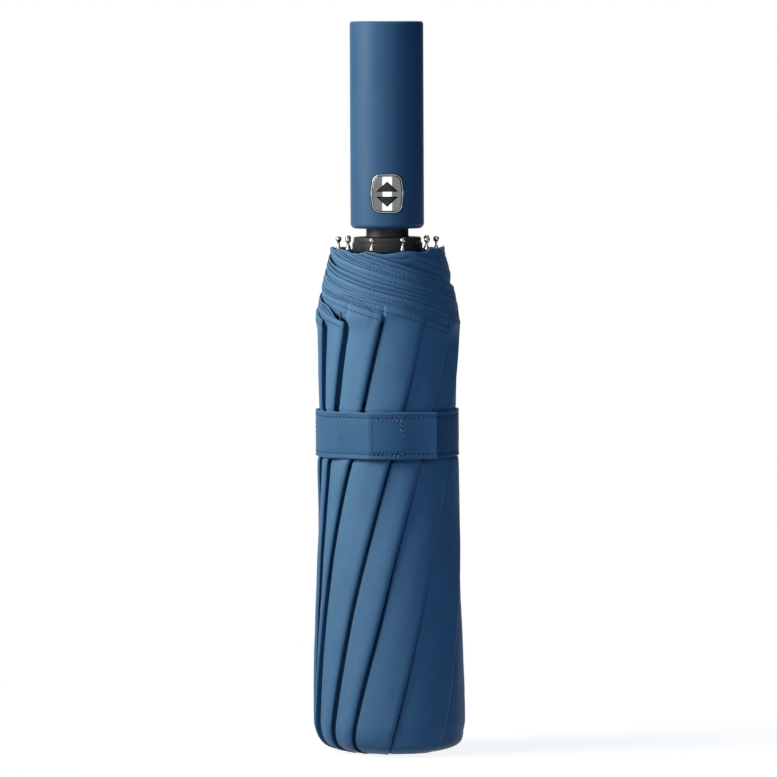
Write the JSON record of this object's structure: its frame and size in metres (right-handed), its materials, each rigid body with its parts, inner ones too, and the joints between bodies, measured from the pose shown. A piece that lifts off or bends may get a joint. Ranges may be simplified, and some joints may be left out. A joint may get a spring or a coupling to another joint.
{
  "type": "folding umbrella",
  "caption": "Compact folding sun and rain umbrella, furled and strapped, with a telescoping shaft, a push button in the handle and a strap that peels open.",
  "frame": {"origin": "centre of the crown cap's flat face, on the shaft's axis, which the furled umbrella stands on", "axes": "+Z along the shaft from the crown to the end of the handle; the push button faces -Y; +X completes the frame"},
  "size_m": [0.0632, 0.0631, 0.3003],
  "materials": {
    "handle_soft_touch": "soft-touch satin coat, dusty blue",
    "black_nylon": "moulded satin black",
    "button_chrome": "satin chrome plate on plastic",
    "shaft_steel": "plated tube",
    "spring_steel": "oiled spring wire",
    "rib_steel": "black coated channel",
    "tip_chrome": "bright chrome plate",
    "canopy_cloth": "fine plain-weave polyester, dusty blue",
    "strap_cloth": "doubled and stitched canopy cloth",
    "hook_and_loop": "woven hook-and-loop tape"
  },
  "bodies": {
    "furled_bundle": {"canopy": "canopy_cloth", "strap": "strap_cloth", "strap_loop_patch": "hook_and_loop", "crown": "black_nylon", "crown_cap": "black_nylon", "crown_wire": "spring_steel", "runner": "black_nylon", "runner_wire": "spring_steel", "inner_tube": "shaft_steel", "main_spring": "spring_steel", "stretcher_01": "rib_steel", "stretcher_02": "rib_steel", "stretcher_03": "rib_steel", "stretcher_04": "rib_steel", "stretcher_05": "rib_steel", "stretcher_06": "rib_steel", "stretcher_07": "rib_steel", "stretcher_08": "rib_steel", "stretcher_09": "rib_steel", "stretcher_10": "rib_steel", "top_rib_01": "rib_steel", "top_rib_02": "rib_steel", "top_rib_03": "rib_steel", "top_rib_04": "rib_steel", "top_rib_05": "rib_steel", "top_rib_06": "rib_steel", "top_rib_07": "rib_steel", "top_rib_08": "rib_steel", "top_rib_09": "rib_steel", "top_rib_10": "rib_steel", "middle_rib_01": "rib_steel", "middle_rib_02": "rib_steel", "middle_rib_03": "rib_steel", "middle_rib_04": "rib_steel", "middle_rib_05": "rib_steel", "middle_rib_06": "rib_steel", "middle_rib_07": "rib_steel", "middle_rib_08": "rib_steel", "middle_rib_09": "rib_steel", "middle_rib_10": "rib_steel", "tip_rib_01": "tip_chrome", "tip_rib_02": "tip_chrome", "tip_rib_03": "tip_chrome", "tip_rib_04": "tip_chrome", "tip_rib_05": "tip_chrome", "tip_rib_06": "tip_chrome", "tip_rib_07": "tip_chrome", "tip_rib_08": "tip_chrome", "tip_rib_09": "tip_chrome", "tip_rib_10": "tip_chrome"},
    "shaft_middle": {"middle_tube": "shaft_steel"},
    "handle": {"handle_shell": "handle_soft_touch", "handle_core": "black_nylon", "button_bezel": "button_chrome", "outer_tube": "shaft_steel", "latch_spring": "spring_steel"},
    "button": {"push_button": "button_chrome"},
    "latch": {"latch_slider": "spring_steel"},
    "strap_end": {"strap_tab": "strap_cloth", "strap_hook_patch": "hook_and_loop"}
  },
  "joints": [
    {"name": "handle_slide", "type": "slide", "parent": "furled_bundle", "child": "handle", "axis": [0, 0, 1], "range_m": [0, 0.33], "deforming": ["main_spring"]},
    {"name": "middle_tube_slide", "type": "slide", "parent": "furled_bundle", "child": "shaft_middle", "axis": [0, 0, 1], "range_m": [0, 0.165]},
    {"name": "button_press", "type": "slide", "parent": "handle", "child": "button", "axis": [0, 1, 0], "range_m": [0, 0.0015], "stiffness_N_per_m": 800, "springref_m": -0.0005},
    {"name": "latch_release", "type": "slide", "parent": "handle", "child": "latch", "axis": [0, 1, 0], "range_m": [0, 0.0015]},
    {"name": "strap_peel", "type": "hinge", "parent": "furled_bundle", "child": "strap_end", "pos_m": [-0.00756, -0.03031, 0.13073], "axis": [0, 0, -1], "range_deg": [0, 120]}
  ],
  "couplings": [
    {"joint": "middle_tube_slide", "follows": "handle_slide", "ratio": 0.5},
    {"joint": "latch_release", "follows": "button_press", "ratio": 1}
  ]
}
